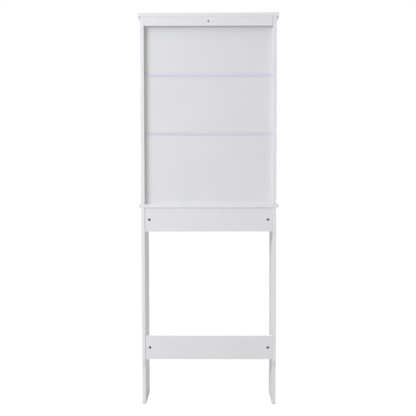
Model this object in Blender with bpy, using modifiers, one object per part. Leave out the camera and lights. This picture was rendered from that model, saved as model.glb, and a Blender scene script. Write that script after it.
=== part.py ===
"""Over-the-toilet storage rack in white faced board.

Two tall leg panels straddle the toilet and carry an open case with three compartments. Metres, +Z up.
The origin is on the floor under the middle of the rack. The open front faces -Y and the closed rear
faces +Y, so right is +X for someone who stands in front of the rack.
"""

import math

import bmesh
import bpy
from mathutils import Matrix, Vector

MM = 0.001
GAP = 0.3 * MM  # clearance between pieces that touch
OVERSHOOT = 1 * MM  # how far a cutter passes the surface that it opens

# Driving dimensions
HEIGHT = 1688 * MM
TOP_WIDTH = 600 * MM  # the top board and the middle board
CASE_WIDTH = 580 * MM  # outside of the side panels and of the legs
SIDE_DEPTH = 200 * MM  # side panels and legs, front to rear
FRONT_OVERHANG = 10 * MM  # of the top and middle boards
BOARD = 15 * MM  # thickness of every faced board
BACK_SHEET = 3 * MM
BACK_RECESS = 17 * MM  # from the rear edges to the back sheets
CROSS_RAIL_SETBACK = 2 * MM  # from the legs' rear edges to the apron and the stretcher
EASED_EDGE = 0.5 * MM
EASED_SHEET_EDGE = 0.3 * MM

# Levels above the floor
MIDDLE_TOP = 874 * MM
FIXED_SHELF_LEVEL = 1178 * MM  # middle of the fixed shelf and of the strip behind it
UPPER_SHELF_LEVEL = 1427 * MM  # middle of the adjustable shelf and of the strip behind it
STRETCHER_BOTTOM = 202 * MM
CROSS_RAIL_HEIGHT = 102.5 * MM  # the apron and the stretcher
TOP_RAIL_HEIGHT = 40 * MM
NOTCH_HEIGHT = 187 * MM  # clears the wall's skirting board
NOTCH_DEPTH = 17 * MM

# Joinery
GROOVE_DEPTH = 5 * MM
TOP_RAIL_SLACK = 1.2 * MM  # the top rail is cut this much short, which leaves a gap at its left end
ANCHOR_HOLE_RADIUS = 3.8 * MM
ANCHOR_HOLE_DROP = 1.5 * MM  # below the middle of the top rail
FITTING_ROWS = (-60 * MM, 50 * MM)  # front and rear row of cams, screws and shelf pins
CAM_RADIUS = 7.4 * MM
CAM_THICKNESS = 12 * MM
CAM_FROM_EDGE = 24 * MM  # from the board's end to the middle of the cam
CAM_HEAD_PASS = 2 * MM  # how far a cam bolt's head passes the middle of its cam
EDGE_BORE_RADIUS = 4 * MM
CAM_SLOT_LENGTH = 8 * MM
CAM_SLOT_WIDTH = 1.6 * MM
CAM_SLOT_DEPTH = 2 * MM
CAM_BOLT_HEAD_RADIUS = 3.4 * MM
CAM_BOLT_HEAD_LENGTH = 3 * MM
CAM_BOLT_NECK_RADIUS = 2.3 * MM
CAM_BOLT_SHOULDER = 7 * MM  # from the head's tip to the shaft
CAM_BOLT_SHAFT_RADIUS = 3.2 * MM
CAM_BOLT_THREAD = 11 * MM
NUT_FROM_END = 20 * MM  # from the rail's end to the middle of the barrel nut
NUT_RADIUS = 5 * MM
NUT_LENGTH = 10 * MM
NUT_SLOT = 1.2 * MM  # width and depth of the slot in its face
BOLT_LENGTH = 43 * MM
BOLT_SHANK_RADIUS = 3 * MM
BOLT_HEAD_RADIUS = 6 * MM
BOLT_HEAD_THICKNESS = 2.6 * MM
DOWEL_RADIUS = 4 * MM
DOWEL_LENGTH = 30 * MM
DOWEL_IN_LEG = 10 * MM
DOWEL_BELOW_BOLT = 32 * MM
SCREW_LENGTH = 50 * MM
SCREW_SHANK_RADIUS = 3.2 * MM
SCREW_HEAD_RADIUS = 5 * MM
SCREW_HEAD_THICKNESS = 3 * MM
SOCKET_RADIUS = 2.3 * MM  # hexagonal socket, across its corners
SOCKET_DEPTH = 2 * MM
PIN_SPACING = 32 * MM  # between the heights that the adjustable shelf can take
PIN_PEG_RADIUS = 2.35 * MM
PIN_PEG_LENGTH = 8 * MM
PIN_RADIUS = 3 * MM
PIN_LENGTH = 7.5 * MM
SHELF_SETBACK = 2 * MM  # the shelves' front edges behind the side panels' front edges
SHELF_SIDE_CLEARANCE = 1.5 * MM  # at each end of the adjustable shelf
SHELF_REAR_CLEARANCE = 1 * MM  # from the shelves to the joint strips behind them
STRIP_HEIGHT = 15 * MM
STRIP_WALL = 1 * MM

FINE = 16  # sides of a visible round piece or hole
COARSE = 12  # sides of a round piece or hole inside the boards

# Planes and levels that follow
REAR = (SIDE_DEPTH + FRONT_OVERHANG) / 2
FRONT = -REAR
SIDE_FRONT = REAR - SIDE_DEPTH
OUTER = CASE_WIDTH / 2
INNER = OUTER - BOARD
MID_WALL = OUTER - BOARD / 2
TOP_UNDERSIDE = HEIGHT - BOARD
MIDDLE_UNDERSIDE = MIDDLE_TOP - BOARD
APRON_BOTTOM = MIDDLE_UNDERSIDE - CROSS_RAIL_HEIGHT
MID_TOP_RAIL = REAR - BOARD / 2
CROSS_RAIL_REAR = REAR - CROSS_RAIL_SETBACK
MID_RAIL = CROSS_RAIL_REAR - BOARD / 2  # of the apron and the stretcher
BACK_REAR = REAR - BACK_RECESS
BACK_FRONT = BACK_REAR - BACK_SHEET
STRIP_FRONT = BACK_FRONT - GAP - STRIP_WALL
SHELF_REAR = STRIP_FRONT - SHELF_REAR_CLEARANCE
SHELF_FRONT = SIDE_FRONT + SHELF_SETBACK
TOP_RAIL_LEVEL = TOP_UNDERSIDE - TOP_RAIL_HEIGHT / 2
PIN_LEVEL = UPPER_SHELF_LEVEL - BOARD / 2 - GAP - PIN_RADIUS
GROOVE_END = INNER + GROOVE_DEPTH + OVERSHOOT  # of the blind grooves in the top and middle boards
SIDES = {"left": -1, "right": 1}
ROWS = dict(zip(("front", "rear"), FITTING_ROWS))
CROSS_RAILS = {"apron": APRON_BOTTOM, "stretcher": STRETCHER_BOTTOM}


def clear_scene():
    for item in list(bpy.data.objects):
        bpy.data.objects.remove(item, do_unlink=True)


def new_collection(name):
    collection = bpy.data.collections.new(name)
    bpy.context.scene.collection.children.link(collection)
    return collection


def plain_material(name, colour, roughness, metallic=0.0):
    material = bpy.data.materials.new(name)
    material.use_nodes = True
    shader = material.node_tree.nodes["Principled BSDF"]
    shader.inputs["Base Color"].default_value = (*colour, 1)
    shader.inputs["Roughness"].default_value = roughness
    shader.inputs["Metallic"].default_value = metallic
    return material


clear_scene()
RACK = new_collection("storage_rack")
CUTTERS = new_collection("cutters")
CUTTERS.hide_render = True

WHITE_BOARD = plain_material("white_board", (0.78, 0.78, 0.80), 0.45)
WHITE_SHEET = plain_material("white_sheet", (0.74, 0.74, 0.75), 0.50)
CLEAR_PVC = plain_material("joint_strip_pvc", (0.76, 0.75, 0.81), 0.30)
BEECH = plain_material("beech", (0.62, 0.45, 0.27), 0.60)
ZINC = plain_material("zinc_alloy", (0.48, 0.48, 0.49), 0.40, 1.0)
DARK_ZINC = plain_material("dark_zinc", (0.10, 0.10, 0.11), 0.45, 1.0)
STEEL = plain_material("zinc_plated_steel", (0.60, 0.60, 0.62), 0.30, 1.0)


def add_block(bm, low, high):
    """Adds a closed box between two opposite corners, given in any order."""
    low, high = Vector(low), Vector(high)
    size = [abs(extent) for extent in high - low]
    place = Matrix.Translation((low + high) / 2) @ Matrix.Diagonal((*size, 1))
    bmesh.ops.create_cube(bm, size=1, matrix=place)


def add_rod(bm, start, end, radius, segments):
    """Adds a closed cylinder from one point to another."""
    start, end = Vector(start), Vector(end)
    along = end - start
    turn = along.to_track_quat("Z", "Y").to_matrix().to_4x4()
    bmesh.ops.create_cone(
        bm,
        cap_ends=True,
        segments=segments,
        radius1=radius,
        radius2=radius,
        depth=along.length,
        matrix=Matrix.Translation((start + end) / 2) @ turn,
    )


def solids_mesh(name, blocks=(), rods=()):
    """A mesh of closed boxes and cylinders that stay clear of one another."""
    bm = bmesh.new()
    for low, high in blocks:
        add_block(bm, low, high)
    for start, end, radius, segments in rods:
        add_rod(bm, start, end, radius, segments)
    mesh = bpy.data.meshes.new(name)
    bm.to_mesh(mesh)
    bm.free()
    return mesh


def link_piece(name, mesh, material):
    if not mesh.materials:
        mesh.materials.append(material)
    piece = bpy.data.objects.new(name, mesh)
    RACK.objects.link(piece)
    return piece


def cut(piece, blocks=(), rods=()):
    """Cuts boxes and cylinders, given in world coordinates, out of a piece."""
    name = f"{piece.name}_cut_{len(piece.modifiers)}"
    cutter = bpy.data.objects.new(name, solids_mesh(name, blocks, rods))
    cutter.display_type = "WIRE"
    cutter.hide_render = True
    CUTTERS.objects.link(cutter)
    boolean = piece.modifiers.new(name, "BOOLEAN")
    boolean.operation = "DIFFERENCE"
    boolean.solver = "EXACT"
    boolean.object = cutter


def board(name, low, high, material=WHITE_BOARD, eased=EASED_EDGE):
    """A rectangular board between two corners, with eased edges and its origin in its middle."""
    low, high = Vector(low), Vector(high)
    half = (high - low) / 2
    piece = link_piece(name, solids_mesh(name, [(-half, half)]), material)
    piece.location = (low + high) / 2
    bevel = piece.modifiers.new("eased_edges", "BEVEL")
    bevel.width = eased
    bevel.segments = 1
    return piece


def crosswise(sign, near, far, y, z):
    """Two points on a line along X on one side of the rack, at distances near and far from its middle."""
    return (sign * near, y, z), (sign * far, y, z)


def build_top_board():
    piece = board("top_board", (-TOP_WIDTH / 2, FRONT, TOP_UNDERSIDE), (TOP_WIDTH / 2, REAR, HEIGHT))
    groove = (
        (-GROOVE_END, BACK_FRONT - GAP, TOP_UNDERSIDE - OVERSHOOT),
        (GROOVE_END, BACK_REAR + GAP, TOP_UNDERSIDE + GROOVE_DEPTH),
    )
    bores = []
    for sign in SIDES.values():
        for y in FITTING_ROWS:
            mouth = (sign * MID_WALL, y, TOP_UNDERSIDE - OVERSHOOT)
            bottom = (sign * MID_WALL, y, TOP_UNDERSIDE + CAM_BOLT_THREAD + GAP)
            bores.append((mouth, bottom, CAM_BOLT_SHAFT_RADIUS + GAP, COARSE))
    cut(piece, [groove], bores)


def build_middle_board():
    low = (-TOP_WIDTH / 2, FRONT, MIDDLE_UNDERSIDE)
    piece = board("middle_board", low, (TOP_WIDTH / 2, REAR, MIDDLE_TOP))
    groove = (
        (-GROOVE_END, BACK_FRONT - GAP, MIDDLE_TOP - GROOVE_DEPTH),
        (GROOVE_END, BACK_REAR + GAP, MIDDLE_TOP + OVERSHOOT),
    )
    bores = []
    for sign in SIDES.values():
        for y in FITTING_ROWS:
            below = (sign * MID_WALL, y, MIDDLE_UNDERSIDE - OVERSHOOT)
            above = (sign * MID_WALL, y, MIDDLE_TOP + OVERSHOOT)
            bores.append((below, above, EDGE_BORE_RADIUS, COARSE))
    cut(piece, [groove], bores)


def cam_seat(sign, y, z):
    """The blind hole for a cam, in the inner face of a side panel or a leg."""
    start, end = crosswise(sign, INNER - OVERSHOOT, INNER + CAM_THICKNESS + 2 * GAP, y, z)
    return start, end, CAM_RADIUS + GAP, FINE


def edge_bore(sign, y, edge, cam_level):
    """The bore from a panel's end to the middle of its cam."""
    outside = edge + math.copysign(OVERSHOOT, edge - cam_level)
    return (sign * MID_WALL, y, outside), (sign * MID_WALL, y, cam_level), EDGE_BORE_RADIUS, COARSE


def side_through_hole(sign, y, z, radius):
    start, end = crosswise(sign, INNER - OVERSHOOT, OUTER + OVERSHOOT, y, z)
    return start, end, radius, COARSE


def counterbore(sign, y, z, head_radius, head_thickness):
    start, end = crosswise(sign, OUTER - head_thickness - 2 * GAP, OUTER + OVERSHOOT, y, z)
    return start, end, head_radius + GAP, FINE


def build_side_panel(label, sign):
    bottom, top = MIDDLE_TOP + GAP, TOP_UNDERSIDE - GAP
    low, high = sorted((sign * INNER, sign * OUTER))
    piece = board(f"{label}_side_panel", (low, SIDE_FRONT, bottom), (high, REAR, top))
    groove = (
        (sign * (INNER - OVERSHOOT), BACK_FRONT - GAP, bottom - OVERSHOOT),
        (sign * (INNER + GROOVE_DEPTH), BACK_REAR + GAP, top + OVERSHOOT),
    )
    cam_levels = {MIDDLE_TOP: MIDDLE_TOP + CAM_FROM_EDGE, TOP_UNDERSIDE: TOP_UNDERSIDE - CAM_FROM_EDGE}
    screws = [(y, FIXED_SHELF_LEVEL) for y in FITTING_ROWS] + [(MID_TOP_RAIL, TOP_RAIL_LEVEL)]
    wide = [cam_seat(sign, y, z) for y in FITTING_ROWS for z in cam_levels.values()]
    wide += [side_through_hole(sign, y, z, SCREW_SHANK_RADIUS + GAP) for y, z in screws]
    for y in FITTING_ROWS:
        for step in (-1, 0, 1):
            level = PIN_LEVEL + step * PIN_SPACING
            mouth, end = crosswise(sign, INNER - OVERSHOOT, INNER + PIN_PEG_LENGTH + GAP, y, level)
            wide.append((mouth, end, PIN_PEG_RADIUS + GAP, COARSE))
    cut(piece, [groove], wide)
    narrow = [edge_bore(sign, y, edge, z) for y in FITTING_ROWS for edge, z in cam_levels.items()]
    narrow += [counterbore(sign, y, z, SCREW_HEAD_RADIUS, SCREW_HEAD_THICKNESS) for y, z in screws]
    cut(piece, rods=narrow)


def rail_bolt_level(rail_bottom):
    return rail_bottom + CROSS_RAIL_HEIGHT / 2


def build_leg_panel(label, sign):
    top = MIDDLE_UNDERSIDE - GAP
    low, high = sorted((sign * INNER, sign * OUTER))
    piece = board(f"{label}_leg_panel", (low, SIDE_FRONT, 0), (high, REAR, top))
    notch = (
        (low - OVERSHOOT, REAR - NOTCH_DEPTH, -OVERSHOOT),
        (high + OVERSHOOT, REAR + OVERSHOOT, NOTCH_HEIGHT),
    )
    cam_level = MIDDLE_UNDERSIDE - CAM_FROM_EDGE
    bolt_levels = [rail_bolt_level(bottom) for bottom in CROSS_RAILS.values()]
    wide = [cam_seat(sign, y, cam_level) for y in FITTING_ROWS]
    wide += [side_through_hole(sign, MID_RAIL, z, BOLT_SHANK_RADIUS + 2 * GAP) for z in bolt_levels]
    for level in bolt_levels:
        dowel_level = level - DOWEL_BELOW_BOLT
        mouth, end = crosswise(sign, INNER - OVERSHOOT, INNER + DOWEL_IN_LEG + GAP, MID_RAIL, dowel_level)
        wide.append((mouth, end, DOWEL_RADIUS + GAP, COARSE))
    cut(piece, [notch], wide)
    narrow = [edge_bore(sign, y, MIDDLE_UNDERSIDE, cam_level) for y in FITTING_ROWS]
    narrow += [counterbore(sign, MID_RAIL, z, BOLT_HEAD_RADIUS, BOLT_HEAD_THICKNESS) for z in bolt_levels]
    cut(piece, rods=narrow)


def build_top_rear_rail():
    left_end = -INNER + TOP_RAIL_SLACK
    front = REAR - BOARD
    low = (left_end, front, TOP_UNDERSIDE - TOP_RAIL_HEIGHT)
    piece = board("top_rear_rail", low, (INNER - GAP, REAR, TOP_UNDERSIDE - GAP))
    anchor_level = TOP_RAIL_LEVEL - ANCHOR_HOLE_DROP
    anchor_hole = (
        (0, front - OVERSHOOT, anchor_level),
        (0, REAR + OVERSHOOT, anchor_level),
        ANCHOR_HOLE_RADIUS,
        FINE,
    )
    bores = [anchor_hole]
    bores += [screw_bore(sign, MID_TOP_RAIL, TOP_RAIL_LEVEL) for sign in SIDES.values()]
    cut(piece, rods=bores)


def screw_bore(sign, y, z):
    """The blind bore for a screw, in the end of a shelf or of the top rail."""
    start, end = crosswise(sign, INNER + OVERSHOOT, OUTER - SCREW_LENGTH - GAP, y, z)
    return start, end, SCREW_SHANK_RADIUS + GAP, COARSE


def build_cross_rail(name, bottom):
    low = (-INNER + GAP, CROSS_RAIL_REAR - BOARD, bottom)
    piece = board(name, low, (INNER - GAP, CROSS_RAIL_REAR, bottom + CROSS_RAIL_HEIGHT - GAP))
    bolt_level = rail_bolt_level(bottom)
    nut_seats, dowel_bores, bolt_bores = [], [], []
    for sign in SIDES.values():
        nut_x = sign * (INNER - NUT_FROM_END)
        nut_bottom = MID_RAIL - NUT_LENGTH / 2 - GAP
        mouth = (nut_x, CROSS_RAIL_REAR + OVERSHOOT, bolt_level)
        nut_seats.append((mouth, (nut_x, nut_bottom, bolt_level), NUT_RADIUS + GAP, FINE))
        dowel_end = INNER + DOWEL_IN_LEG - DOWEL_LENGTH - GAP
        dowel_level = bolt_level - DOWEL_BELOW_BOLT
        start, end = crosswise(sign, INNER + OVERSHOOT, dowel_end, MID_RAIL, dowel_level)
        dowel_bores.append((start, end, DOWEL_RADIUS + GAP, COARSE))
        bolt_end = OUTER - BOLT_LENGTH - OVERSHOOT
        start, end = crosswise(sign, INNER + OVERSHOOT, bolt_end, MID_RAIL, bolt_level)
        bolt_bores.append((start, end, BOLT_SHANK_RADIUS + 2 * GAP, COARSE))
    cut(piece, rods=nut_seats + dowel_bores)
    cut(piece, rods=bolt_bores)


def build_back_panels():
    """Three sheets in one groove all round, whose meeting edges lie in the two joint strips."""
    half_width = INNER + GROOVE_DEPTH - 2 * GAP
    web = STRIP_WALL / 2 + GAP
    spans = {
        "back_panel_lower": (MIDDLE_TOP - GROOVE_DEPTH + GAP, FIXED_SHELF_LEVEL - web),
        "back_panel_middle": (FIXED_SHELF_LEVEL + web, UPPER_SHELF_LEVEL - web),
        "back_panel_upper": (UPPER_SHELF_LEVEL + web, TOP_UNDERSIDE + GROOVE_DEPTH - GAP),
    }
    for name, (bottom, top) in spans.items():
        low, high = (-half_width, BACK_FRONT, bottom), (half_width, BACK_REAR, top)
        board(name, low, high, WHITE_SHEET, EASED_SHEET_EDGE)


def build_joint_strip(name, level):
    """An H-shaped strip: a flange on each face of the back sheets and a web between their edges."""
    half_length = INNER - GAP
    half_depth = BACK_SHEET / 2 + GAP + STRIP_WALL
    low = (-half_length, -half_depth, -STRIP_HEIGHT / 2)
    mesh = solids_mesh(name, [(low, (half_length, half_depth, STRIP_HEIGHT / 2))])
    piece = link_piece(name, mesh, CLEAR_PVC)
    middle = (BACK_FRONT + BACK_REAR) / 2
    piece.location = (0, middle, level)
    slots = []
    for sign in (-1, 1):
        web_side = level + sign * STRIP_WALL / 2
        open_side = level + sign * (STRIP_HEIGHT / 2 + OVERSHOOT)
        start = (-half_length - OVERSHOOT, BACK_FRONT - GAP, web_side)
        slots.append((start, (half_length + OVERSHOOT, BACK_REAR + GAP, open_side)))
    cut(piece, slots)


def build_fixed_shelf():
    end = INNER - GAP
    low = (-end, SHELF_FRONT, FIXED_SHELF_LEVEL - BOARD / 2)
    piece = board("fixed_shelf", low, (end, SHELF_REAR, FIXED_SHELF_LEVEL + BOARD / 2))
    bores = [screw_bore(sign, y, FIXED_SHELF_LEVEL) for sign in SIDES.values() for y in FITTING_ROWS]
    cut(piece, rods=bores)


def build_adjustable_shelf():
    end = INNER - SHELF_SIDE_CLEARANCE
    low = (-end, SHELF_FRONT, UPPER_SHELF_LEVEL - BOARD / 2)
    board("adjustable_shelf", low, (end, SHELF_REAR, UPPER_SHELF_LEVEL + BOARD / 2))


def turned_piece(name, profile, segments, material):
    """A round piece about Z, from (radius, height) points that run down its outer side."""
    mesh = bpy.data.meshes.new(name)
    points = [(radius, 0, height) for radius, height in profile]
    mesh.from_pydata(points, [(i, i + 1) for i in range(len(points) - 1)], [])
    piece = link_piece(name, mesh, material)
    screw = piece.modifiers.new("turn", "SCREW")
    screw.steps = segments
    screw.render_steps = segments
    screw.use_merge_vertices = True
    screw.merge_threshold = 0.1 * MM
    return piece


def finished_mesh(piece):
    """The mesh of a template piece with its modifiers applied; the template itself is removed."""
    graph = bpy.context.evaluated_depsgraph_get()
    mesh = bpy.data.meshes.new_from_object(piece.evaluated_get(graph))
    mesh.shade_smooth()
    mesh.set_sharp_from_angle(angle=math.radians(35))
    bpy.data.objects.remove(piece)
    return mesh


def cam_lock_mesh():
    """A cam with its slotted face at z = 0 and its bolt's bore open towards +Y."""
    outline = [(0, 0), (CAM_RADIUS, 0), (CAM_RADIUS, -CAM_THICKNESS), (0, -CAM_THICKNESS)]
    piece = turned_piece("cam_lock", outline, FINE, ZINC)
    bore_level = GAP - BOARD / 2
    bore_bottom = (0, -2 * CAM_HEAD_PASS, bore_level)
    cut(piece, rods=[(bore_bottom, (0, CAM_RADIUS + OVERSHOOT, bore_level), EDGE_BORE_RADIUS, COARSE)])
    across = (CAM_SLOT_LENGTH / 2, CAM_SLOT_WIDTH / 2)
    for half_x, half_y in (across, across[::-1]):
        cut(piece, [((-half_x, -half_y, -CAM_SLOT_DEPTH), (half_x, half_y, OVERSHOOT))])
    return finished_mesh(piece)


def cam_bolt_head(tip):
    """Profile points of a cam bolt's head, neck and shoulder, from its tip downwards."""
    head, neck, shaft = CAM_BOLT_HEAD_RADIUS, CAM_BOLT_NECK_RADIUS, CAM_BOLT_SHAFT_RADIUS
    return [
        (0, tip),
        (head, tip),
        (head, tip - CAM_BOLT_HEAD_LENGTH),
        (neck, tip - CAM_BOLT_HEAD_LENGTH),
        (neck, tip - CAM_BOLT_SHOULDER),
        (shaft, tip - CAM_BOLT_SHOULDER),
    ]


def cam_bolt_mesh():
    """A cam bolt that hangs from the board above: its head at z = 0, its thread at the bottom."""
    board_face = -(CAM_FROM_EDGE + CAM_HEAD_PASS)
    thread_end = board_face - CAM_BOLT_THREAD
    profile = cam_bolt_head(0)
    profile += [(CAM_BOLT_SHAFT_RADIUS, thread_end), (0, thread_end)]
    return finished_mesh(turned_piece("cam_bolt", profile, COARSE, STEEL))


def double_cam_bolt_mesh():
    """A bolt with a cam head at each end, centred on the origin."""
    tip = BOARD / 2 + CAM_FROM_EDGE + CAM_HEAD_PASS
    upper = cam_bolt_head(tip)
    lower = [(radius, -height) for radius, height in reversed(upper)]
    return finished_mesh(turned_piece("double_cam_bolt", upper + lower, COARSE, STEEL))


def socket_screw_mesh(name, head_radius, head_thickness, shank_radius, length):
    """A flat-headed screw with a hexagonal socket, its head's face at z = 0."""
    profile = [
        (0, 0),
        (head_radius, 0),
        (head_radius, -head_thickness),
        (shank_radius, -head_thickness),
        (shank_radius, -length),
        (0, -length),
    ]
    piece = turned_piece(name, profile, FINE, STEEL)
    socket_bottom = (0, 0, -SOCKET_DEPTH)
    cut(piece, rods=[(socket_bottom, (0, 0, OVERSHOOT), SOCKET_RADIUS, 6)])
    return finished_mesh(piece)


def barrel_nut_mesh():
    """A barrel nut with its slotted face at z = 0 and its cross bore along X."""
    outline = [(0, 0), (NUT_RADIUS, 0), (NUT_RADIUS, -NUT_LENGTH), (0, -NUT_LENGTH)]
    piece = turned_piece("barrel_nut", outline, FINE, DARK_ZINC)
    past = NUT_RADIUS + OVERSHOOT
    middle = -NUT_LENGTH / 2
    cut(piece, rods=[((-past, 0, middle), (past, 0, middle), BOLT_SHANK_RADIUS + GAP, COARSE)])
    cut(piece, [((-past, -NUT_SLOT / 2, -NUT_SLOT), (past, NUT_SLOT / 2, OVERSHOOT))])
    return finished_mesh(piece)


def dowel_mesh():
    """A chamfered wooden dowel, from z = 0 down."""
    chamfer = DOWEL_RADIUS / 4
    inner = DOWEL_RADIUS - chamfer
    profile = [(0, 0), (inner, 0), (DOWEL_RADIUS, -chamfer)]
    profile += [(DOWEL_RADIUS, chamfer - DOWEL_LENGTH), (inner, -DOWEL_LENGTH), (0, -DOWEL_LENGTH)]
    return finished_mesh(turned_piece("dowel", profile, COARSE, BEECH))


def shelf_pin_mesh():
    """A stepped shelf pin: the part under the shelf above z = 0, the peg in the panel below it."""
    profile = [(0, PIN_LENGTH), (PIN_RADIUS, PIN_LENGTH), (PIN_RADIUS, GAP)]
    profile += [(PIN_PEG_RADIUS, GAP), (PIN_PEG_RADIUS, -PIN_PEG_LENGTH), (0, -PIN_PEG_LENGTH)]
    return finished_mesh(turned_piece("shelf_pin", profile, FINE, STEEL))


def place(name, mesh, origin, z_axis, y_axis=(0, 1, 0)):
    """Puts a copy of a shared mesh at a point, with its own Z and Y axes turned to the given ones."""
    z_axis, y_axis = Vector(z_axis), Vector(y_axis)
    turn = Matrix((y_axis.cross(z_axis), y_axis, z_axis)).transposed()
    piece = bpy.data.objects.new(name, mesh)
    piece.location = origin
    piece.rotation_euler = turn.to_euler()
    RACK.objects.link(piece)


def place_cams_and_bolts():
    """Cams in the panels' inner faces, and the bolts that they draw tight."""
    cam = cam_lock_mesh()
    bolt = cam_bolt_mesh()
    double_bolt = double_cam_bolt_mesh()
    up, down = (0, 0, 1), (0, 0, -1)
    joints = {
        "top": (TOP_UNDERSIDE - CAM_FROM_EDGE, up),
        "lower": (MIDDLE_TOP + CAM_FROM_EDGE, down),
        "leg": (MIDDLE_UNDERSIDE - CAM_FROM_EDGE, up),
    }
    bolt_tip = TOP_UNDERSIDE - CAM_FROM_EDGE - CAM_HEAD_PASS
    for side, sign in SIDES.items():
        inward = (-sign, 0, 0)
        for row, y in ROWS.items():
            for joint, (level, towards_edge) in joints.items():
                seat = (sign * (INNER + GAP), y, level)
                place(f"{joint}_cam_lock_{side}_{row}", cam, seat, inward, towards_edge)
            place(f"top_cam_bolt_{side}_{row}", bolt, (sign * MID_WALL, y, bolt_tip), down)
            middle = (sign * MID_WALL, y, MIDDLE_TOP - BOARD / 2)
            place(f"double_cam_bolt_{side}_{row}", double_bolt, middle, up)


def place_rail_fasteners():
    """A bolt, a barrel nut and a dowel at each end of the apron and of the stretcher."""
    bolt = socket_screw_mesh(
        "connecting_bolt", BOLT_HEAD_RADIUS, BOLT_HEAD_THICKNESS, BOLT_SHANK_RADIUS, BOLT_LENGTH - GAP
    )
    nut = barrel_nut_mesh()
    dowel = dowel_mesh()
    for rail, bottom in CROSS_RAILS.items():
        level = rail_bolt_level(bottom)
        for side, sign in SIDES.items():
            outward = (sign, 0, 0)
            place(f"{rail}_bolt_{side}", bolt, (sign * (OUTER - GAP), MID_RAIL, level), outward)
            nut_face = (sign * (INNER - NUT_FROM_END), MID_RAIL + NUT_LENGTH / 2, level)
            place(f"{rail}_barrel_nut_{side}", nut, nut_face, (0, 1, 0), (0, 0, 1))
            dowel_end = (sign * (INNER + DOWEL_IN_LEG), MID_RAIL, level - DOWEL_BELOW_BOLT)
            place(f"{rail}_dowel_{side}", dowel, dowel_end, outward)


def place_screws():
    """Screws through the side panels into the fixed shelf and into the top rear rail."""
    screw = socket_screw_mesh(
        "screw", SCREW_HEAD_RADIUS, SCREW_HEAD_THICKNESS, SCREW_SHANK_RADIUS, SCREW_LENGTH - GAP
    )
    for side, sign in SIDES.items():
        outward = (sign, 0, 0)
        face = sign * (OUTER - GAP)
        for row, y in ROWS.items():
            place(f"shelf_screw_{side}_{row}", screw, (face, y, FIXED_SHELF_LEVEL), outward)
        place(f"top_rail_screw_{side}", screw, (face, MID_TOP_RAIL, TOP_RAIL_LEVEL), outward)


def place_shelf_pins():
    pin = shelf_pin_mesh()
    for side, sign in SIDES.items():
        for row, y in ROWS.items():
            place(f"shelf_pin_{side}_{row}", pin, (sign * INNER, y, PIN_LEVEL), (-sign, 0, 0))


def build_rack():
    build_top_board()
    build_middle_board()
    for label, sign in SIDES.items():
        build_side_panel(label, sign)
        build_leg_panel(label, sign)
    build_top_rear_rail()
    build_cross_rail("rear_apron", APRON_BOTTOM)
    build_cross_rail("lower_rear_stretcher", STRETCHER_BOTTOM)
    build_back_panels()
    build_joint_strip("upper_joint_strip", UPPER_SHELF_LEVEL)
    build_joint_strip("lower_joint_strip", FIXED_SHELF_LEVEL)
    build_fixed_shelf()
    build_adjustable_shelf()
    place_cams_and_bolts()
    place_rail_fasteners()
    place_screws()
    place_shelf_pins()


build_rack()
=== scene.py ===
"""Looks of the over-the-toilet storage rack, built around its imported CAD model.

Every board, sheet, strip and fastener gets a detailed piece in the place of its CAD solid. The camera
stands behind the rack, so the open front faces away from it.
"""

import math

import bmesh
import bpy
from mathutils import Matrix, Vector


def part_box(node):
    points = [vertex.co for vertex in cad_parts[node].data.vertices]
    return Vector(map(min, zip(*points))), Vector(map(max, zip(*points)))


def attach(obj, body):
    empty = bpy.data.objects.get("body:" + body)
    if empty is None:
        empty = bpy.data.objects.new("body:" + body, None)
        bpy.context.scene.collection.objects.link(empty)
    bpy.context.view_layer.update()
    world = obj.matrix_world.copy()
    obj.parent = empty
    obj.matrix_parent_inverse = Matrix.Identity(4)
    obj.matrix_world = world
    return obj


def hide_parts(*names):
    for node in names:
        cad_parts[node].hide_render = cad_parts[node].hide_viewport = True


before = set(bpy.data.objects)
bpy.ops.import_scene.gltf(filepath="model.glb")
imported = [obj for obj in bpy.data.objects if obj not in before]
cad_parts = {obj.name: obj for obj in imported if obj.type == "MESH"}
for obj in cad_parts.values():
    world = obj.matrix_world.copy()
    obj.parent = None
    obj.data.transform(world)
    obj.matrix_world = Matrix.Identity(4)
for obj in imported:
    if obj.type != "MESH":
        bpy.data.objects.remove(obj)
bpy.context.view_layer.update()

MM = 0.001
SIDES = {"left": -1, "right": 1}
ROWS = ("front", "rear")
SHELF = "adjustable_shelf"
NOISE_LOW, NOISE_HIGH = 0.3, 0.7  # most of a noise texture's values lie between these


def middle(node):
    """The middle of a CAD node's box."""
    low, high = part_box(node)
    return (low + high) / 2


def extent(node):
    """The size of a CAD node's box along the three axes."""
    low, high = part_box(node)
    return high - low


# ---------------------------------------------------------------- materials


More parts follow.
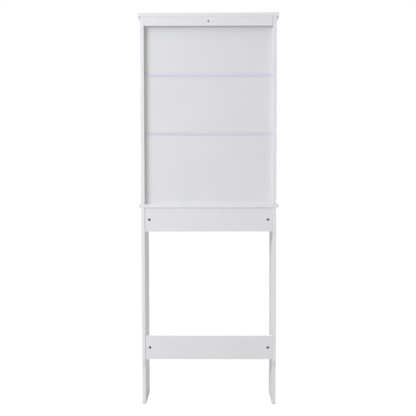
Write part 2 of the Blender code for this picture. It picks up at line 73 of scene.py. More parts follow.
class Shader:
    """A material under construction: its Principled shader and short ways to add nodes."""

    def __init__(self, name, roughness, metallic=0.0, specular=0.5):
        self.material = bpy.data.materials.new(name)
        self.material.use_nodes = True
        self.tree = self.material.node_tree
        self.principled = self.tree.nodes["Principled BSDF"]
        self.principled.inputs["Roughness"].default_value = roughness
        self.principled.inputs["Metallic"].default_value = metallic
        self.principled.inputs["Specular IOR Level"].default_value = specular
        self.place = self.tree.nodes.new("ShaderNodeTexCoord").outputs["Object"]

    def link(self, output, target):
        self.tree.links.new(output, self.principled.inputs[target])

    def stretched(self, scale):
        mapping = self.tree.nodes.new("ShaderNodeMapping")
        mapping.inputs["Scale"].default_value = scale
        self.tree.links.new(self.place, mapping.inputs["Vector"])
        return mapping.outputs["Vector"]

    def noise(self, scale, detail=3.0, stretch=(1, 1, 1)):
        node = self.tree.nodes.new("ShaderNodeTexNoise")
        node.inputs["Scale"].default_value = scale
        node.inputs["Detail"].default_value = detail
        self.tree.links.new(self.stretched(stretch), node.inputs["Vector"])
        return node.outputs["Fac"]

    def ramp(self, value, stops):
        """Colours or greys by value; stops are (position, colour)."""
        node = self.tree.nodes.new("ShaderNodeValToRGB")
        elements = node.color_ramp.elements
        elements[0].position, elements[0].color = stops[0][0], (*stops[0][1], 1)
        elements[1].position, elements[1].color = stops[-1][0], (*stops[-1][1], 1)
        for position, colour in stops[1:-1]:
            elements.new(position).color = (*colour, 1)
        self.tree.links.new(value, node.inputs["Fac"])
        return node.outputs["Color"]

    def remap(self, value, low, high):
        node = self.tree.nodes.new("ShaderNodeMapRange")
        node.inputs["From Min"].default_value = NOISE_LOW
        node.inputs["From Max"].default_value = NOISE_HIGH
        node.inputs["To Min"].default_value = low
        node.inputs["To Max"].default_value = high
        self.tree.links.new(value, node.inputs["Value"])
        return node.outputs["Result"]

    def bump(self, height, strength, distance, under=None):
        node = self.tree.nodes.new("ShaderNodeBump")
        node.inputs["Strength"].default_value = strength
        node.inputs["Distance"].default_value = distance
        self.tree.links.new(height, node.inputs["Height"])
        if under:
            self.tree.links.new(under, node.inputs["Normal"])
        return node.outputs["Normal"]


def shades(colour, spread):
    """The colour, darkened and lightened by the spread, for a ramp."""
    return [tuple(min(1.0, part * factor) for part in colour) for factor in (1 - spread, 1, 1 + spread)]


def mottled(shader, colour, spread, scale, stretch=(1, 1, 1)):
    """Gives the shader the colour in soft patches, lighter and darker by the spread."""
    dark, plain, light = shades(colour, spread)
    pattern = shader.noise(scale, detail=5.0, stretch=stretch)
    middle_value = (NOISE_LOW + NOISE_HIGH) / 2
    stops = [(NOISE_LOW, dark), (middle_value, plain), (NOISE_HIGH, light)]
    shader.link(shader.ramp(pattern, stops), "Base Color")


def foil_face():
    """Satin white foil on the boards' faces: faint orange peel over slow waves in the board."""
    shader = Shader("foil_face", roughness=0.42)
    mottled(shader, (0.81, 0.81, 0.83), spread=0.012, scale=9)
    shader.link(shader.remap(shader.noise(14), low=0.38, high=0.48), "Roughness")
    waves = shader.bump(shader.noise(22, detail=1.0), strength=0.25, distance=0.2 * MM)
    peel = shader.bump(shader.noise(700, detail=2.0), strength=0.10, distance=0.05 * MM, under=waves)
    shader.link(peel, "Normal")
    return shader.material


def edge_band():
    """PVC band on the boards' narrow sides: a little bluer and glossier than their faces."""
    shader = Shader("edge_band", roughness=0.36)
    mottled(shader, (0.83, 0.84, 0.865), spread=0.010, scale=30)
    shader.link(shader.remap(shader.noise(60), low=0.32, high=0.42), "Roughness")
    shader.link(shader.bump(shader.noise(900, detail=2.0), strength=0.12, distance=0.04 * MM), "Normal")
    return shader.material


def raw_core():
    """Fibreboard where it is drilled or grooved, and hardboard where it is cut."""
    shader = Shader("raw_core", roughness=0.9, specular=0.2)
    mottled(shader, (0.33, 0.24, 0.15), spread=0.25, scale=900)
    shader.link(shader.bump(shader.noise(1500, detail=4.0), strength=0.5, distance=0.2 * MM), "Normal")
    return shader.material


def faced_hardboard():
    """White faced hardboard of the back: matter than the boards, with a fine pressed texture."""
    shader = Shader("faced_hardboard", roughness=0.5)
    mottled(shader, (0.775, 0.775, 0.785), spread=0.012, scale=7)
    shader.link(shader.remap(shader.noise(12), low=0.46, high=0.56), "Roughness")
    waves = shader.bump(shader.noise(9, detail=1.0), strength=0.35, distance=0.5 * MM)
    texture = shader.bump(shader.noise(500), strength=0.15, distance=0.06 * MM, under=waves)
    shader.link(texture, "Normal")
    return shader.material


def strip_pvc():
    """Bluish, slightly milky PVC with fine lines along the extrusion."""
    shader = Shader("strip_pvc", roughness=0.28)
    mottled(shader, (0.75, 0.74, 0.85), spread=0.02, scale=40, stretch=(0.1, 1, 1))
    shader.principled.inputs["Subsurface Weight"].default_value = 0.3
    shader.principled.inputs["Subsurface Radius"].default_value = (1.0, 1.0, 1.0)
    shader.principled.inputs["Subsurface Scale"].default_value = 2 * MM
    lines = shader.noise(900, detail=1.0, stretch=(0.01, 1, 1))
    shader.link(shader.bump(lines, strength=0.3, distance=0.05 * MM), "Normal")
    return shader.material


def metal(name, colour, roughness, grain, relief):
    """A metal with mottled plating; grain is the scale of its surface, relief its depth in mm."""
    shader = Shader(name, roughness, metallic=1.0)
    mottled(shader, colour, spread=0.08, scale=grain)
    wear = shader.remap(shader.noise(grain * 2), low=roughness - 0.08, high=roughness + 0.1)
    shader.link(wear, "Roughness")
    shader.link(shader.bump(shader.noise(grain * 3), strength=0.3, distance=relief * MM), "Normal")
    return shader.material


def beech():
    """Bare beech with a drawn-out grain."""
    grain = (0.08, 1, 1)
    shader = Shader("beech_wood", roughness=0.6)
    mottled(shader, (0.62, 0.45, 0.27), spread=0.14, scale=300, stretch=grain)
    shader.link(shader.bump(shader.noise(700, stretch=grain), strength=0.3, distance=0.1 * MM), "Normal")
    return shader.material


FOIL, BAND, CORE = foil_face(), edge_band(), raw_core()
HARDBOARD, PVC, BEECH = faced_hardboard(), strip_pvc(), beech()
CAST_ZINC = metal("cast_zinc", (0.50, 0.50, 0.51), roughness=0.42, grain=900, relief=0.08)
# Barrel nut zinc, darkened to paint in the shade of the deep holes the nuts sit in.
ZINC_WITH_PAINTED_SHADE = metal("dark_zinc", (0.12, 0.12, 0.125), roughness=0.5, grain=900, relief=0.05)
PLATED_STEEL = metal("plated_steel", (0.62, 0.62, 0.64), roughness=0.28, grain=500, relief=0.02)


# ---------------------------------------------------------------- shapes

ROWS_PER_TURN = 6  # of a screw thread


def new_object(name, mesh, *materials):
    """An object in the scene, with the materials on its mesh."""
    for material in materials:
        mesh.materials.append(material)
    piece = bpy.data.objects.new(name, mesh)
    bpy.context.scene.collection.objects.link(piece)
    return piece


def mesh_from(bm, name):
    """Turns the form under construction into a mesh, which ends it."""
    mesh = bpy.data.meshes.new(name)
    bm.normal_update()
    bm.to_mesh(mesh)
    bm.free()
    return mesh


def drills(rods, segments=48):
    """A cutter of closed cylinders; rods are (start, end, radius)."""
    bm = bmesh.new()
    for start, end, radius in rods:
        start, end = Vector(start), Vector(end)
        along = end - start
        turn = along.to_track_quat("Z", "Y").to_matrix().to_4x4()
        bmesh.ops.create_cone(
            bm, cap_ends=True, segments=segments, radius1=radius, radius2=radius,
            depth=along.length, matrix=Matrix.Translation((start + end) / 2) @ turn,
        )
    return bm


def blocks(boxes):
    """A cutter of square-cornered blocks; boxes are (low corner, high corner)."""
    bm = bmesh.new()
    for low, high in boxes:
        low, high = Vector(low), Vector(high)
        stretch = Matrix.Diagonal((*(high - low), 1))
        bmesh.ops.create_cube(bm, size=1, matrix=Matrix.Translation((low + high) / 2) @ stretch)
    return bm


def extruded(corners, lift):
    """A closed form: the flat outline through the corners, carried along lift."""
    bm = bmesh.new()
    base = bm.faces.new([bm.verts.new(corner) for corner in corners])
    top = bmesh.ops.extrude_face_region(bm, geom=[base])["geom"]
    bmesh.ops.translate(bm, vec=lift, verts=[part for part in top if isinstance(part, bmesh.types.BMVert)])
    bmesh.ops.recalc_face_normals(bm, faces=bm.faces)
    return bm


def cut(piece, cutter_bm, *inside):
    """Cuts the cutter out of the piece; the new faces take the material inside, where there is one."""
    mesh = mesh_from(cutter_bm, piece.name + "_cutter")
    cutter = new_object(mesh.name, mesh, *inside)
    cutter.hide_render = True
    boolean = piece.modifiers.new("cut", "BOOLEAN")
    boolean.operation = "DIFFERENCE"
    boolean.solver = "EXACT"
    boolean.material_mode = "TRANSFER" if inside else "INDEX"
    boolean.object = cutter
    return cutter


def settle(piece, cutters=(), angle=12):
    """Applies the piece's modifiers, removes its cutters and shades it smooth below the angle."""
    bpy.context.view_layer.update()
    graph = bpy.context.evaluated_depsgraph_get()
    mesh = bpy.data.meshes.new_from_object(piece.evaluated_get(graph))
    piece.modifiers.clear()
    piece.data = mesh
    for cutter in cutters:
        bpy.data.objects.remove(cutter)
    mesh.shade_smooth()
    mesh.set_sharp_from_angle(angle=math.radians(angle))
    return piece


def spun(name, rows, material, segments):
    """A round piece about Z from rows of (height, radius), top first.

    A radius may be a function of the angle about Z.
    """
    bm = bmesh.new()
    rings = []
    for height, radius in rows:
        ring = []
        for step in range(segments):
            angle = math.tau * step / segments
            reach = radius(angle) if callable(radius) else radius
            ring.append(bm.verts.new((reach * math.cos(angle), reach * math.sin(angle), height)))
        rings.append(ring)
    for upper, lower in zip(rings, rings[1:]):
        for step in range(segments):
            following = (step + 1) % segments
            bm.faces.new((upper[step], lower[step], lower[following], upper[following]))
    bm.faces.new(rings[0])
    bm.faces.new(rings[-1][::-1])
    return new_object(name, mesh_from(bm, name), material)


def thread(top, bottom, crest, depth, pitch):
    """Rows of a screw thread that runs from one height down to another."""
    def radius_at(height):
        fade = min(1.0, (top - height) / pitch, (height - bottom) / pitch)

        def radius(angle):
            turn = (height / pitch + angle / math.tau) % 1
            ridge = 1 - abs(2 * turn - 1)
            return crest - depth + depth * ridge * fade
        return radius

    steps = round((top - bottom) / pitch * ROWS_PER_TURN)
    heights = [top + (bottom - top) * step / steps for step in range(steps + 1)]
    return [(height, radius_at(height)) for height in heights]


# ---------------------------------------------------------------- boards

GAP = 0.3 * MM  # round every fastener and back sheet
EASED_EDGE = 0.5 * MM
SHEET_EDGE = 0.25 * MM
BAND_THICKNESS = 0.5 * MM
SEAM = 0.08 * MM
BROAD = 0.999  # a face whose normal is this close to the thin axis is one of a board's two broad faces
NOTCH_HEIGHT = 187 * MM
NOTCH_DEPTH = 17 * MM
PIN_SPACING = 32 * MM
PEG_RADIUS = 2.35 * MM
CAM_BOLT_RADIUS = 3.4 * MM
SCREW_SHANK = 3.2 * MM
BOLT_SHANK = 3.0 * MM
DOWEL_RADIUS = 4 * MM
HEAD_DEPTH = 3.6 * MM  # of the counterbores for bolt and screw heads
ANCHOR_HOLE = 3.8 * MM
ANCHOR_DROP = 1.5 * MM
PAST_SURFACE = 4 * MM  # how far a drilled hole's cutter stands out of the board
STRIP_WALL = 1 * MM
STRIP_SLOPE = 4 * MM  # height of each flange's sloping edge
STRIP_TAPER = 0.7 * MM  # how much thinner the flange gets over that height

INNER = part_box("right_leg_panel")[0].x  # from the rack's middle to the boards' inner faces
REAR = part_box("right_leg_panel")[1].y  # the rack's rear plane


def stand_for(piece, node):
    """The piece takes the place of a CAD node, on its body."""
    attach(piece, SHELF if node == SHELF else "rack")
    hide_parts(node)


def rectangle(low, high, across, up):
    """The box's outline in two of its axes, anticlockwise."""
    lower = [(low[across], low[up]), (high[across], low[up])]
    return lower + [(high[across], high[up]), (low[across], high[up])]


def add_seam(bm, face, width):
    """Parts a band's thickness off all round a broad face, with a fine groove where the band begins."""
    for part in bmesh.ops.inset_region(bm, faces=[face], thickness=BAND_THICKNESS)["faces"]:
        part.material_index = 1
    bmesh.ops.inset_region(bm, faces=[face], thickness=width, depth=-width)
    bmesh.ops.inset_region(bm, faces=[face], thickness=width, depth=width)


def slab(node, outline=None, face=FOIL, edge=BAND, eased=EASED_EDGE, seam=SEAM):
    """A board in its CAD node's place, with rounded edges and a fine seam where its edge bands begin.

    The outline runs anticlockwise in the two axes that follow the thin one.
    """
    low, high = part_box(node)
    thin = min(range(3), key=lambda axis: high[axis] - low[axis])
    across, up = (thin + 1) % 3, (thin + 2) % 3
    corners = []
    for first, second in outline or rectangle(low, high, across, up):
        corner = low.copy()
        corner[across], corner[up] = first, second
        corners.append(corner)
    lift = Vector()
    lift[thin] = high[thin] - low[thin]
    bm = extruded(corners, lift)
    bmesh.ops.bevel(bm, geom=bm.edges[:], offset=eased, segments=3, profile=0.5, affect="EDGES")
    bm.normal_update()
    for part in bm.faces:
        part.material_index = 0 if abs(part.normal[thin]) > BROAD else 1
    if seam:
        for part in [part for part in bm.faces if part.material_index == 0]:
            add_seam(bm, part, seam)
    return new_object(node + "_piece", mesh_from(bm, node), face, edge)


def shaft_bore(node, radius):
    """A bore round a fastener's whole length."""
    low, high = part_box(node)
    along = max(range(3), key=lambda axis: high[axis] - low[axis])
    start, end = middle(node), middle(node)
    start[along], end[along] = low[along] - GAP, high[along] + GAP
    return start, end, radius + GAP


def face_of(node, face):
    """The middle of a node's box on the side that face points to."""
    face = Vector(face)
    return middle(node) + face * (abs(extent(node).dot(face)) / 2)


def recess(node, face, depth=None):
    """A round hole for a fastener from its outer face, as deep as the fastener unless depth is given.

    The face points out of the board.
    """
    face = Vector(face)
    mouth = face_of(node, face)
    radius = max(extent(node)[axis] for axis in range(3) if not face[axis]) / 2
    if depth is None:
        depth = abs(extent(node).dot(face)) + GAP
    return mouth + face * PAST_SURFACE, mouth - face * depth, radius + GAP


def finish_board(piece, node, recesses=(), shafts=(), slots=()):
    """Cuts a board's holes and grooves, and lets it stand for its node."""
    cutters = []
    for cutter_of, parts in ((drills, recesses), (drills, shafts), (blocks, slots)):
        if parts:
            cutters.append(cut(piece, cutter_of(parts), CORE))
    settle(piece, cutters)
    stand_for(piece, node)


def sides_and_rows():
    """Each of the four corners of the plan: its side, that side's sign and its row."""
    return [(side, sign, row) for side, sign in SIDES.items() for row in ROWS]


def back_space():
    """The room of the three back sheets, which the boards round them are grooved for."""
    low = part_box("back_panel_lower")[0]
    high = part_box("back_panel_upper")[1]
    clearance = Vector((GAP, GAP, GAP))
    return low - clearance, high + clearance


def make_deck_boards():
    """The top board and the middle board."""
    for node, bolt in (("top_board", "top_cam_bolt"), ("middle_board", "double_cam_bolt")):
        shafts = [shaft_bore(f"{bolt}_{side}_{row}", CAM_BOLT_RADIUS) for side, _, row in sides_and_rows()]
        finish_board(slab(node), node, shafts=shafts, slots=[back_space()])


def pin_holes(side, sign):
    """The used hole of each shelf pin, with an empty one above it and one below."""
    cutter_start = sign * (INNER - MM)
    holes = []
    for row in ROWS:
        peg = face_of(f"shelf_pin_{side}_{row}", (sign, 0, 0))
        for step in (-1, 0, 1):
            end = peg + Vector((sign * GAP, 0, step * PIN_SPACING))
            holes.append(((cutter_start, end.y, end.z), end, PEG_RADIUS + GAP))
    return holes


def make_side_panel(side, sign):
    """A side of the case: cams, shelf screws, pin holes and the groove for the back sheets."""
    node = f"{side}_side_panel"
    inward, outward = (-sign, 0, 0), (sign, 0, 0)
    screws = [f"shelf_screw_{side}_{row}" for row in ROWS] + [f"top_rail_screw_{side}"]
    recesses = [recess(f"{joint}_cam_lock_{side}_{row}", inward)
                for joint in ("top", "lower") for row in ROWS]
    recesses += [recess(screw, outward, HEAD_DEPTH) for screw in screws]
    recesses += pin_holes(side, sign)
    shafts = [shaft_bore(f"{bolt}_{side}_{row}", CAM_BOLT_RADIUS)
              for bolt in ("top_cam_bolt", "double_cam_bolt") for row in ROWS]
    shafts += [shaft_bore(screw, SCREW_SHANK) for screw in screws]
    finish_board(slab(node), node, recesses, shafts, [back_space()])


def make_leg_panel(side, sign):
    """A leg with its skirting notch, its cams and the fasteners of the apron and the stretcher."""
    node = f"{side}_leg_panel"
    low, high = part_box(node)
    notch_front = high.y - NOTCH_DEPTH
    outline = [(low.y, low.z), (notch_front, low.z), (notch_front, NOTCH_HEIGHT),
               (high.y, NOTCH_HEIGHT), (high.y, high.z), (low.y, high.z)]
    inward, outward = (-sign, 0, 0), (sign, 0, 0)
    bolts = [f"{rail}_bolt_{side}" for rail in ("apron", "stretcher")]
    dowels = [f"{rail}_dowel_{side}" for rail in ("apron", "stretcher")]
    recesses = [recess(f"leg_cam_lock_{side}_{row}", inward) for row in ROWS]
    recesses += [recess(bolt, outward, HEAD_DEPTH) for bolt in bolts]
    recesses += [shaft_bore(dowel, DOWEL_RADIUS) for dowel in dowels]
    shafts = [shaft_bore(f"double_cam_bolt_{side}_{row}", CAM_BOLT_RADIUS) for row in ROWS]
    shafts += [shaft_bore(bolt, BOLT_SHANK) for bolt in bolts]
    finish_board(slab(node, outline), node, recesses, shafts)


def make_rails():
    """The apron, the stretcher and the top rail with its wall screw's hole."""
    for node, rail in (("rear_apron", "apron"), ("lower_rear_stretcher", "stretcher")):
        recesses = [recess(f"{rail}_barrel_nut_{side}", (0, 1, 0)) for side in SIDES]
        recesses += [shaft_bore(f"{rail}_dowel_{side}", DOWEL_RADIUS) for side in SIDES]
        shafts = [shaft_bore(f"{rail}_bolt_{side}", BOLT_SHANK) for side in SIDES]
        finish_board(slab(node), node, recesses, shafts)
    centre = middle("top_rear_rail")
    through = Vector((0, extent("top_rear_rail").y, 0))
    anchor = Vector((0, centre.y, centre.z - ANCHOR_DROP))
    recesses = [(anchor - through, anchor + through, ANCHOR_HOLE)]
    recesses += [shaft_bore(f"top_rail_screw_{side}", SCREW_SHANK) for side in SIDES]
    finish_board(slab("top_rear_rail"), "top_rear_rail", recesses)


def make_shelves():
    """The fixed shelf, drilled for its screws, and the plain adjustable one."""
    shafts = [shaft_bore(f"shelf_screw_{side}_{row}", SCREW_SHANK) for side, _, row in sides_and_rows()]
    finish_board(slab("fixed_shelf"), "fixed_shelf", shafts=shafts)
    finish_board(slab(SHELF), SHELF)


def make_back_sheets():
    """The three hardboard sheets of the back."""
    for part in ("lower", "middle", "upper"):
        node = f"back_panel_{part}"
        finish_board(slab(node, face=HARDBOARD, edge=CORE, eased=SHEET_EDGE, seam=0), node)


def strip_outline(half_height, half_depth):
    """An H section whose flanges thin towards their edges: a quarter, mirrored across depth and height."""
    inner = half_depth - STRIP_WALL
    quarter = [(half_depth, 0), (half_depth, half_height - STRIP_SLOPE)]
    quarter += [(half_depth - STRIP_TAPER, half_height), (inner, half_height), (inner, STRIP_WALL / 2)]
    upper = quarter + [(-depth, height) for depth, height in reversed(quarter)]
    lower = [(depth, -height) for depth, height in reversed(upper)][1:-1]
    return upper + lower


def make_joint_strips():
    """The plastic strips that join the back sheets."""
    for part in ("lower", "upper"):
        node = f"{part}_joint_strip"
        size = extent(node)
        end = face_of(node, (-1, 0, 0))
        outline = strip_outline(size.z / 2, size.y / 2)
        corners = [end + Vector((0, depth, height)) for depth, height in outline]
        bm = extruded(corners, Vector((size.x, 0, 0)))
        piece = new_object(node + "_piece", mesh_from(bm, node), PVC)
        settle(piece, angle=5)
        stand_for(piece, node)


# ---------------------------------------------------------------- fasteners

ABOVE = MM  # how far the cutters of slots and sockets stand above the face they are cut into
CHAMFER = 0.4 * MM
CAM_CHAMFER = 0.5 * MM
CAM_RIM = 1.1 * MM
CAM_FACE_DROP = 0.5 * MM
CAM_BORE_RADIUS = 4 * MM
CAM_BORE_DROP = 7.2 * MM
CROSS_HALF_LENGTH, CROSS_HALF_WIDTH, CROSS_DEPTH = 4.2 * MM, 0.85 * MM, 2.8 * MM
NECK_RADIUS, NECK_END = 2.3 * MM, 6.4 * MM  # of the neck under a cam bolt's head
CAM_BOLT_SHAFT = 3.2 * MM
SOCKET_CORNERS = 2.3 * MM
SOCKET_DEPTH = 2 * MM
THREAD_SHARE = 0.12  # a thread's depth over its shank's radius, for each mm of pitch
TIP_SHARE = 0.7  # a screw's flat tip over its shank
FLUTE_STEPS = 8  # points round each of a dowel's flutes
NUT_SLOT_HALF_WIDTH, NUT_SLOT_DEPTH = 0.7 * MM, 1.4 * MM
FLUTES, FLUTE_DEPTH = 18, 0.35 * MM
PIN_RADIUS, PIN_HEAD = 3 * MM, 7.5 * MM  # of the part of a shelf pin that stands out of the panel
PIN_GROOVE_RADIUS = 2.6 * MM


def cam_lock():
    """A cam with a chamfered rim, a sunk face, a cross slot and the bore for its bolt."""
    size = extent("top_cam_lock_left_front")
    radius, thickness = size.y / 2, size.x
    rows = [(0, radius - CAM_CHAMFER), (-CAM_CHAMFER, radius)]
    rows += [(CHAMFER - thickness, radius), (-thickness, radius - CHAMFER)]
    piece = spun("cam_lock", rows, CAST_ZINC, segments=64)
    sunk_face = [((0, 0, ABOVE), (0, 0, -CAM_FACE_DROP), radius - CAM_RIM)]
    bore = [((0, -CAM_BORE_RADIUS, -CAM_BORE_DROP), (0, radius + ABOVE, -CAM_BORE_DROP), CAM_BORE_RADIUS)]
    cutters = [cut(piece, drills(sunk_face, segments=64)), cut(piece, drills(bore))]
    for across, up in ((CROSS_HALF_LENGTH, CROSS_HALF_WIDTH), (CROSS_HALF_WIDTH, CROSS_HALF_LENGTH)):
        cutters.append(cut(piece, blocks([((-across, -up, -CROSS_DEPTH), (across, up, ABOVE))])))
    return settle(piece, cutters, angle=30)


def socket_head(name, length, head_radius, head_thickness, shank, thread_length, pitch):
    """A socket-headed screw, its head's face at z = 0 and its thread at the other end."""
    thread_top = -length + thread_length
    rows = [(0, head_radius - CHAMFER), (-CHAMFER, head_radius)]
    rows += [(-head_thickness, head_radius), (-head_thickness, shank), (thread_top + pitch, shank)]
    rows += thread(thread_top, -length + CHAMFER, shank, THREAD_SHARE * shank * pitch / MM, pitch)
    rows += [(-length, shank * TIP_SHARE)]
    piece = spun(name, rows, PLATED_STEEL, segments=36)
    socket = drills([((0, 0, ABOVE), (0, 0, -SOCKET_DEPTH), SOCKET_CORNERS)], segments=6)
    return settle(piece, [cut(piece, socket)], angle=40)


def cam_bolt_head(tip, down):
    """Rows of a cam bolt's head and neck from its tip; down is -1, or 1 for an upside-down one."""
    head = [(0, CAM_BOLT_RADIUS - 0.5 * MM), (0.5 * MM, CAM_BOLT_RADIUS)]
    head += [(2.6 * MM, CAM_BOLT_RADIUS), (3 * MM, CAM_BOLT_RADIUS - 0.6 * MM)]
    neck = [(3.2 * MM, NECK_RADIUS), (NECK_END, NECK_RADIUS), (7 * MM, CAM_BOLT_SHAFT)]
    return [(tip + down * drop, radius) for drop, radius in head + neck]


def cam_bolt():
    """A single cam bolt, its tip at z = 0 and its coarse thread at the bottom."""
    length = extent("top_cam_bolt_left_front").z
    thread_top = -26.2 * MM
    rows = cam_bolt_head(0, -1) + [(thread_top + 0.2 * MM, CAM_BOLT_SHAFT)]
    rows += thread(thread_top, CHAMFER - length, CAM_BOLT_SHAFT, depth=0.8 * MM, pitch=2 * MM)
    rows += [(-length, CAM_BOLT_SHAFT / 2)]
    return settle(spun("cam_bolt", rows, PLATED_STEEL, segments=36), angle=40)


def double_cam_bolt():
    """A cam bolt with a head at both ends, the upper one's tip at z = 0."""
    length = extent("double_cam_bolt_left_front").z
    rows = cam_bolt_head(0, -1) + cam_bolt_head(-length, 1)[::-1]
    return settle(spun("double_cam_bolt", rows, PLATED_STEEL, segments=36), angle=40)


def barrel_nut():
    """A cross nut with a screwdriver slot in its end and a bore through its middle for the bolt."""
    size = extent("apron_barrel_nut_left")
    radius, length = size.x / 2, size.y
    rows = [(0, radius - CHAMFER), (-CHAMFER, radius)]
    rows += [(CHAMFER - length, radius), (-length, radius - CHAMFER)]
    # The nut's near-black zinc is painted shade of the hole it sits in.
    piece = spun("barrel_nut", rows, ZINC_WITH_PAINTED_SHADE, segments=48)
    past = radius + MM
    bore = [((-past, 0, -length / 2), (past, 0, -length / 2), BOLT_SHANK + GAP)]
    slot = [((-past, -NUT_SLOT_HALF_WIDTH, -NUT_SLOT_DEPTH), (past, NUT_SLOT_HALF_WIDTH, ABOVE))]
    cutters = [cut(piece, drills(bore)), cut(piece, blocks(slot))]
    return settle(piece, cutters, angle=30)


def dowel():
    """A fluted dowel with chamfered ends."""
    length = extent("apron_dowel_left").x
    chamfer = MM

    def fluted(angle):
        return DOWEL_RADIUS - FLUTE_DEPTH * abs(math.sin(FLUTES * angle / 2))

    rows = [(0, DOWEL_RADIUS - chamfer), (-chamfer, fluted)]
    rows += [(chamfer - length, fluted), (-length, DOWEL_RADIUS - chamfer)]
    return settle(spun("dowel", rows, BEECH, segments=FLUTES * FLUTE_STEPS), angle=50)


def shelf_pin():
    """A plated pin: rounded end under the shelf, collar groove at the panel, peg with a lead-in."""
    length = extent("shelf_pin_left_front").x
    shoulder = GAP - PIN_HEAD
    rows = [(0, 1.6 * MM), (-0.25 * MM, 2.3 * MM), (-0.8 * MM, 2.8 * MM), (-1.5 * MM, PIN_RADIUS)]
    groove = [(1.4 * MM, PIN_RADIUS), (1.2 * MM, PIN_GROOVE_RADIUS)]
    groove += [(0.9 * MM, PIN_GROOVE_RADIUS), (0.7 * MM, PIN_RADIUS)]
    rows += [(height - PIN_HEAD, radius) for height, radius in groove]
    rows += [(shoulder, PIN_RADIUS), (shoulder, PEG_RADIUS)]
    rows += [(0.6 * MM - length, PEG_RADIUS), (-length, PEG_RADIUS - 0.5 * MM)]
    return settle(spun("shelf_pin", rows, PLATED_STEEL, segments=40), angle=40)


def put_copy(node, mesh, face, y_axis):
    """A copy of a fastener's mesh, its own Z along face and its top on that side of the CAD node's box."""
    face, y_axis = Vector(face), Vector(y_axis)
    turn = Matrix((y_axis.cross(face), y_axis, face)).transposed()
    piece = new_object(node + "_piece", mesh)
    piece.location = face_of(node, face)
    piece.rotation_euler = turn.to_euler()
    stand_for(piece, node)


def copies(template, places):
    """One piece for each (node, face, y axis), all sharing the template's mesh; the template goes."""
    mesh = template.data
    bpy.data.objects.remove(template)
    for node, face, y_axis in places:
        put_copy(node, mesh, face, y_axis)


def make_fasteners():
    """Each kind of fastener is made once and copied to all its places."""
    up, down, back = (0, 0, 1), (0, 0, -1), (0, 1, 0)
    edges = {"top": up, "lower": down, "leg": up}
    each = sides_and_rows()
    copies(cam_lock(), [(f"{joint}_cam_lock_{side}_{row}", (-sign, 0, 0), edge)
                        for joint, edge in edges.items() for side, sign, row in each])
    copies(cam_bolt(), [(f"top_cam_bolt_{side}_{row}", down, back) for side, _, row in each])
    copies(double_cam_bolt(), [(f"double_cam_bolt_{side}_{row}", up, back) for side, _, row in each])
    rails = [(rail, side, sign) for rail in ("apron", "stretcher") for side, sign in SIDES.items()]
    bolt = socket_head("bolt", extent("apron_bolt_left").x, head_radius=6 * MM, head_thickness=2.6 * MM,
                       shank=BOLT_SHANK, thread_length=22 * MM, pitch=1 * MM)
    copies(bolt, [(f"{rail}_bolt_{side}", (sign, 0, 0), back) for rail, side, sign in rails])
    copies(barrel_nut(), [(f"{rail}_barrel_nut_{side}", back, up) for rail, side, _ in rails])
    copies(dowel(), [(f"{rail}_dowel_{side}", (sign, 0, 0), back) for rail, side, sign in rails])
    screw = socket_head("screw", extent("top_rail_screw_left").x, head_radius=5 * MM, head_thickness=3 * MM,
                        shank=SCREW_SHANK, thread_length=34 * MM, pitch=3 * MM)
    screws = [(f"shelf_screw_{side}_{row}", (sign, 0, 0), back) for side, sign, row in each]
    screws += [(f"top_rail_screw_{side}", (sign, 0, 0), back) for side, sign in SIDES.items()]
    copies(screw, screws)
    copies(shelf_pin(), [(f"shelf_pin_{side}_{row}", (-sign, 0, 0), back) for side, sign, row in each])


# ---------------------------------------------------------------- studio

CAMERA_BEHIND = 3.106  # from the rack's rear plane, in metres
CAMERA_SIDE = -0.0254
CAMERA_HEIGHT = 0.990
CAMERA_LENS = 62.7
CAMERA_PAN, CAMERA_TILT, CAMERA_ROLL = -0.0091, -0.0425, -0.0015  # radians
FLOOR_SIZE = 30  # in metres
FLOOR_SHOWN, FLOOR_GLOW = 0.06, 0.96  # grey and own light of the floor as the camera sees it
FLOOR_THROWN = 0.55  # its grey to every other ray
KEY_PLACE, KEY_TARGET, KEY_SIZE = (2.9, 2.6, 2.45), (0, 0, 0.8), (2.0, 1.8)
KEY_POWER, KEY_COLOUR = 94, (0.92, 0.955, 1.0)
OVERHEAD_POWER, OVERHEAD_ANGLE, OVERHEAD_DIRECTION = 1.1, 50, (-0.2, -0.35, -0.9)
DOME_SIDE, DOME_DARKEST = (-0.15, -0.65, 0.75), -0.65  # its bright side, and where against that it is black
DOME_POWER, DOME_COLOUR = 0.98, (1.0, 0.97, 0.935, 1)
WHITE = (1, 1, 1, 1)


def make_camera():
    """A camera behind the rack, looking slightly down at its middle."""
    camera = bpy.data.objects.new("camera", bpy.data.cameras.new("camera"))
    bpy.context.scene.collection.objects.link(camera)
    camera.data.lens = CAMERA_LENS
    camera.location = (CAMERA_SIDE, REAR + CAMERA_BEHIND, CAMERA_HEIGHT)
    aim = Matrix.Rotation(math.pi - CAMERA_PAN, 4, "Z") @ Matrix.Rotation(math.pi / 2 + CAMERA_TILT, 4, "X")
    camera.matrix_world = (
        Matrix.Translation(camera.location) @ aim @ Matrix.Rotation(CAMERA_ROLL, 4, "Z")
    )
    bpy.context.scene.camera = camera


def camera_sees(tree, others, seen, output):
    """Show one shader to the camera and the other to every other ray."""
    path = tree.nodes.new("ShaderNodeLightPath")
    mix = tree.nodes.new("ShaderNodeMixShader")
    tree.links.new(path.outputs["Is Camera Ray"], mix.inputs["Fac"])
    tree.links.new(others, mix.inputs[1])
    tree.links.new(seen, mix.inputs[2])
    tree.links.new(mix.outputs["Shader"], tree.nodes[output].inputs["Surface"])


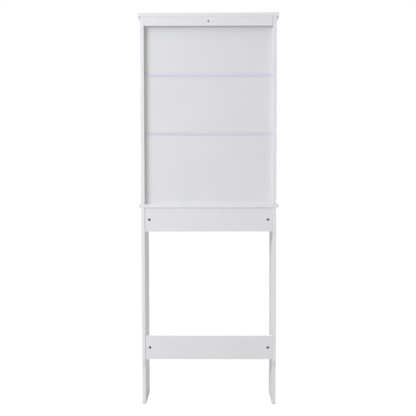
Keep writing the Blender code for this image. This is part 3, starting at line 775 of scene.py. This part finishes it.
def make_floor():
    """A pale floor that fades into the white background, and throws less light on the rack than it shows."""
    bm = bmesh.new()
    bmesh.ops.create_grid(bm, x_segments=1, y_segments=1, size=FLOOR_SIZE)
    shader = Shader("studio_floor", roughness=0.9, specular=0.1)
    shader.principled.inputs["Base Color"].default_value = (FLOOR_SHOWN, FLOOR_SHOWN, FLOOR_SHOWN, 1)
    shader.principled.inputs["Emission Color"].default_value = WHITE
    shader.principled.inputs["Emission Strength"].default_value = FLOOR_GLOW
    tree = shader.material.node_tree
    dim = tree.nodes.new("ShaderNodeBsdfDiffuse")
    dim.inputs["Color"].default_value = (FLOOR_THROWN, FLOOR_THROWN, FLOOR_THROWN, 1)
    camera_sees(tree, dim.outputs["BSDF"], shader.principled.outputs["BSDF"], "Material Output")
    floor = new_object("studio_floor", mesh_from(bm, "studio_floor"), shader.material)


def add_lamp(light, direction):
    """An object for the light, turned to shine in a direction."""
    lamp = bpy.data.objects.new(light.name, light)
    bpy.context.scene.collection.objects.link(lamp)
    lamp.rotation_euler = Vector(direction).to_track_quat("-Z", "Y").to_euler()
    return lamp


def key_light():
    """A large soft light beside the camera, on the left of the picture."""
    light = bpy.data.lights.new("key", "AREA")
    light.shape = "RECTANGLE"
    light.size, light.size_y = KEY_SIZE
    light.energy = KEY_POWER
    light.color = KEY_COLOUR
    lamp = add_lamp(light, Vector(KEY_TARGET) - Vector(KEY_PLACE))
    lamp.location = KEY_PLACE


def overhead_light():
    """A wide soft light from above, on the camera's side, the same at every height of the rack."""
    light = bpy.data.lights.new("overhead", "SUN")
    light.energy = OVERHEAD_POWER
    light.angle = math.radians(OVERHEAD_ANGLE)
    add_lamp(light, OVERHEAD_DIRECTION)


def make_world():
    """A white background to the camera; to the rack, a soft dome that is brighter overhead and in front."""
    world = bpy.data.worlds.new("studio")
    bpy.context.scene.world = world
    world.use_nodes = True
    tree = world.node_tree
    shown = tree.nodes["Background"]
    shown.inputs["Color"].default_value = WHITE
    shown.inputs["Strength"].default_value = 1.0
    direction = tree.nodes.new("ShaderNodeTexCoord")
    facing = tree.nodes.new("ShaderNodeVectorMath")
    facing.operation = "DOT_PRODUCT"
    facing.inputs[1].default_value = DOME_SIDE
    tree.links.new(direction.outputs["Generated"], facing.inputs[0])
    brightness = tree.nodes.new("ShaderNodeMapRange")
    brightness.inputs["From Min"].default_value = DOME_DARKEST
    brightness.inputs["To Max"].default_value = DOME_POWER
    tree.links.new(facing.outputs["Value"], brightness.inputs["Value"])
    dome = tree.nodes.new("ShaderNodeBackground")
    dome.inputs["Color"].default_value = DOME_COLOUR
    tree.links.new(brightness.outputs["Result"], dome.inputs["Strength"])
    camera_sees(tree, dome.outputs["Background"], shown.outputs["Background"], "World Output")


def make_studio():
    """The camera, the floor, the background and the lights."""
    make_camera()
    make_floor()
    make_world()
    key_light()
    overhead_light()
    bpy.context.scene.view_settings.view_transform = "Standard"


make_deck_boards()
for label, direction in SIDES.items():
    make_side_panel(label, direction)
    make_leg_panel(label, direction)
make_rails()
make_shelves()
make_back_sheets()
make_joint_strips()
make_fasteners()
make_studio()
